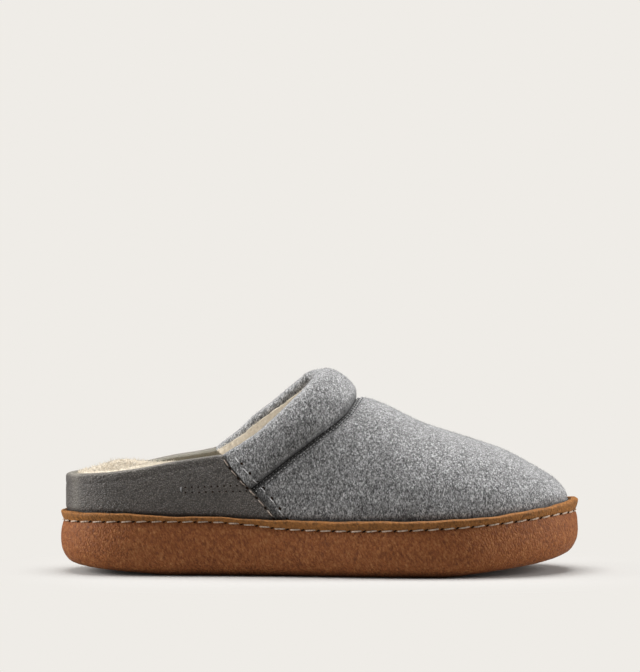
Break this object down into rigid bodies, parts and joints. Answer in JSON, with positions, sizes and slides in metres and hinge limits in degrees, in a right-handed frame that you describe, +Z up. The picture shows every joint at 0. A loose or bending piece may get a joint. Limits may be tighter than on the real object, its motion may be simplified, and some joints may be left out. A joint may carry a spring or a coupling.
{
  "type": "scuff slipper",
  "caption": "Right-foot scuff slipper with a low leather heel quarter, felt vamp and padded cuff on a thick stitched crepe sole.",
  "frame": {"origin": "middle of the outsole's plan, on the floor plane", "axes": "+X towards the toe, +Y towards the inner (medial) side, +Z up"},
  "size_m": [0.295, 0.106, 0.1153],
  "materials": {
    "crepe_sole": "matt crepe rubber, reddish brown",
    "crepe_band": "matt crepe rubber, ochre",
    "wool_felt": "heather grey wool felt",
    "quarter_leather": "soft warm grey leather",
    "cuff_felt": "padded heather grey wool felt",
    "fleece": "cream fleece"
  },
  "bodies": {
    "root": {"outsole": "crepe_sole", "welt": "crepe_band", "upper": "wool_felt", "quarter": "quarter_leather", "collar_cuff": "cuff_felt", "insole": "fleece"}
  },
  "joints": []
}
